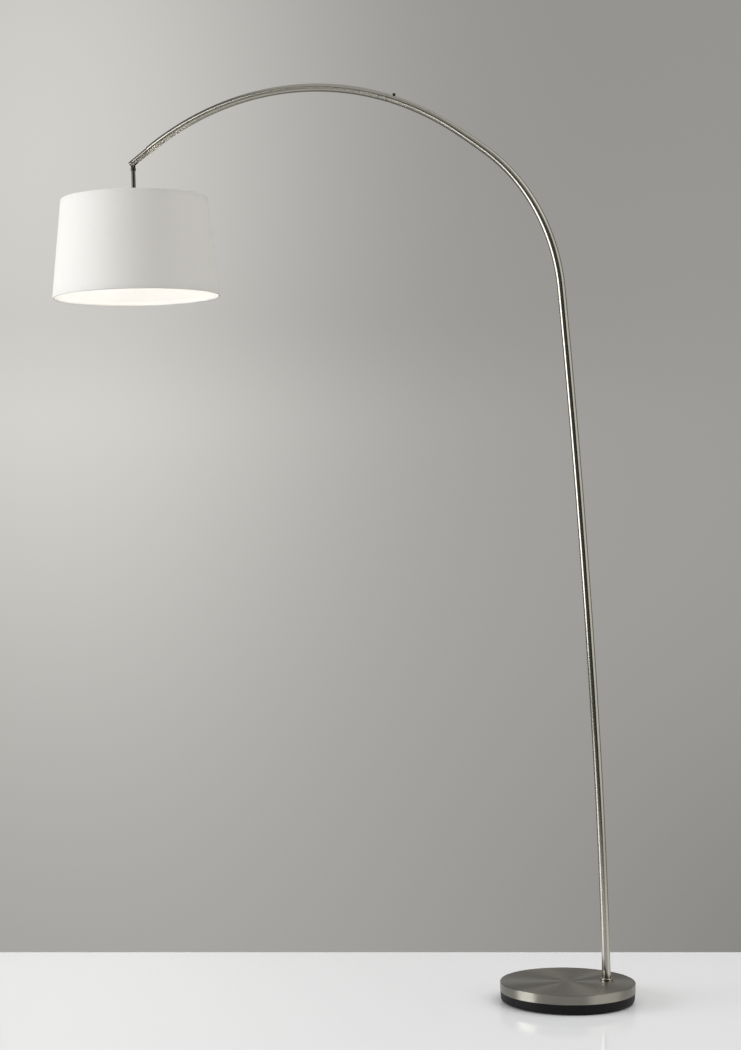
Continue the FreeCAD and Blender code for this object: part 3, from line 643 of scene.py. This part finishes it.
def shade_section(hem_share, lift):
    """Closed section of the cloth at one place round the cone."""
    hem = HEM * max(hem_share, LEAST_HEM)
    section = []
    for step in range(FACE_STEPS + 1):
        section.append((ROLL + (SLANT - 2 * ROLL) * step / FACE_STEPS, 0.0))
    section += rolled_edge(SLANT - ROLL, 1.0, hem)[1:]
    for step in range(1, FACE_STEPS):
        section.append((SLANT - ROLL - (SLANT - 2 * ROLL) * step / FACE_STEPS, CLOTH))
    section += rolled_edge(ROLL, -1.0, HEM)[::-1][:-1]
    return [cone_point(up, inward - (lift if inward < CLOTH * 0.5 else 0.0)) for up, inward in section]


def shade_mesh():
    """The cone as one closed skin."""
    mesh = bmesh.new()
    rows = []
    seam_width = SEAM_LAP / BOTTOM_RADIUS
    turns = [2 * math.pi * step / AROUND for step in range(AROUND)]
    turns += [SEAM_TURN - SEAM_EDGE_TURN, SEAM_TURN]
    turns += [SEAM_TURN + seam_width, SEAM_TURN + seam_width + SEAM_EDGE_TURN]
    for turn in sorted(turns):
        nearest = min(abs((turn - arm + math.pi) % (2 * math.pi) - math.pi) for arm in ARM_TURNS)
        share = (nearest * TOP_RADIUS - NOTCH) / NOTCH_EASE
        lift = SEAM_STEP if SEAM_TURN <= turn <= SEAM_TURN + seam_width else 0.0
        rows.append([mesh.verts.new((radius * math.cos(turn), radius * math.sin(turn), height))
                     for radius, height in shade_section(min(max(share, 0.0), 1.0), lift)])
    for row, following in zip(rows, rows[1:] + rows[:1]):
        for step in range(len(row)):
            after = (step + 1) % len(row)
            mesh.faces.new((row[step], following[step], following[after], row[after]))
    bmesh.ops.recalc_face_normals(mesh, faces=mesh.faces)
    for face in mesh.faces:
        face.smooth = True
    return mesh


skin = shade_mesh()
cloth_mesh = bpy.data.meshes.new("linen_shade")
skin.to_mesh(cloth_mesh)
skin.free()
cloth_mesh.set_sharp_from_angle(angle=math.radians(50.0))
shade = bpy.data.objects.new("linen_shade", cloth_mesh)
bpy.context.scene.collection.objects.link(shade)
HANG_TILT = math.radians(-1.75)
shade.matrix_world = (Matrix.Translation(frame["joints"][2]["pos_m"])
                      @ Matrix.Rotation(HANG_TILT, 4, "Y"))

THREADS_ROUND = 1400
THREAD_RISE = 0.00085
linen, spot = new_finish("laminated_linen")
east, north, height = spot.apart()
turn = north.maths("ARCTAN2", east)
warp = (turn * THREADS_ROUND).maths("SINE") * 0.5 + 0.5
weft = (height * (2 * math.pi / THREAD_RISE)).maths("SINE") * 0.5 + 0.5
up_the_cone = spot.node("ShaderNodeCombineXYZ", {}, {"X": turn * 120.0, "Y": 0.0, "Z": height * 9.0})
round_the_cone = spot.node("ShaderNodeCombineXYZ", {}, {"X": turn * 2.5, "Y": 0.0, "Z": height * 700.0})
slubs_up = up_the_cone.noise(1.0, 3.0)
slubs_round = round_the_cone.noise(1.0, 3.0)
weave = warp * (1.0 - weft) + weft * (1.0 - warp)
tint = weave * 0.3 + slubs_up * 0.4 + slubs_round * 0.3
yarn = tint.blend(paint(236, 234, 230), paint(250, 249, 247))
stand = (weave * 0.6 + slubs_up * 0.5 + slubs_round * 0.5).relief(0.00012)
cloth = spot.node("ShaderNodeBsdfPrincipled", {}, {
    "Base Color": yarn,
    "Roughness": 0.78 + weave * 0.1,
    "Normal": stand,
    "Specular IOR Level": 0.25,
    "Sheen Weight": 0.15,
})
through = spot.node("ShaderNodeBsdfTranslucent", {}, {"Color": (0.9, 0.88, 0.85, 1.0), "Normal": stand})
both = spot.node("ShaderNodeMixShader", {}, {0: 0.12, 1: cloth, 2: through})
spot.node("ShaderNodeOutputMaterial", {}, {"Surface": both})
cloth_mesh.materials.append(linen)

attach(shade, "head")
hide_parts("shade_cloth")


# The lit bulb's reach: a lamp just larger than the globe, hung in the shade so that it moves with the head.
BULB_WATTS = 5.8
GLOBE_CLEARANCE = 0.004
GLOBE_MIDDLE = 0.03
glow_data = bpy.data.lights.new("bulb_light", "POINT")
glow_data.energy = BULB_WATTS
glow_data.shadow_soft_size = (bulb_high[0] - bulb_low[0]) / 2 + GLOBE_CLEARANCE
glow_data.color = (1.0, 0.965, 0.92)
glow_light = bpy.data.objects.new("bulb_light", glow_data)
glow_light.location = ((bulb_low[0] + bulb_high[0]) / 2, (bulb_low[1] + bulb_high[1]) / 2,
                       bulb_low[2] + GLOBE_MIDDLE)
glow_light.visible_glossy = False
bpy.context.scene.collection.objects.link(glow_light)
glow_light.parent = shade
glow_light.matrix_parent_inverse = shade.matrix_world.inverted()


# ---- Cable ----
# Two cores in a thin pale sheath, twisted together.
# They are drawn up inside the tubes, from the foot to the lamp holder.

sheath, spot = new_finish("cable_sheath")
twist = (spot.noise(80.0, 2.0) + spot.apart()[2].lines(0.004)) * 0.5
spot.surface({
    "Base Color": twist.blend(paint(196, 194, 186), paint(216, 214, 207)),
    "Roughness": 0.35 + twist * 0.15,
    "Normal": twist.relief(0.0001),
})
wear(sheath, "stand_cable", "arm_cable", "head_cable")
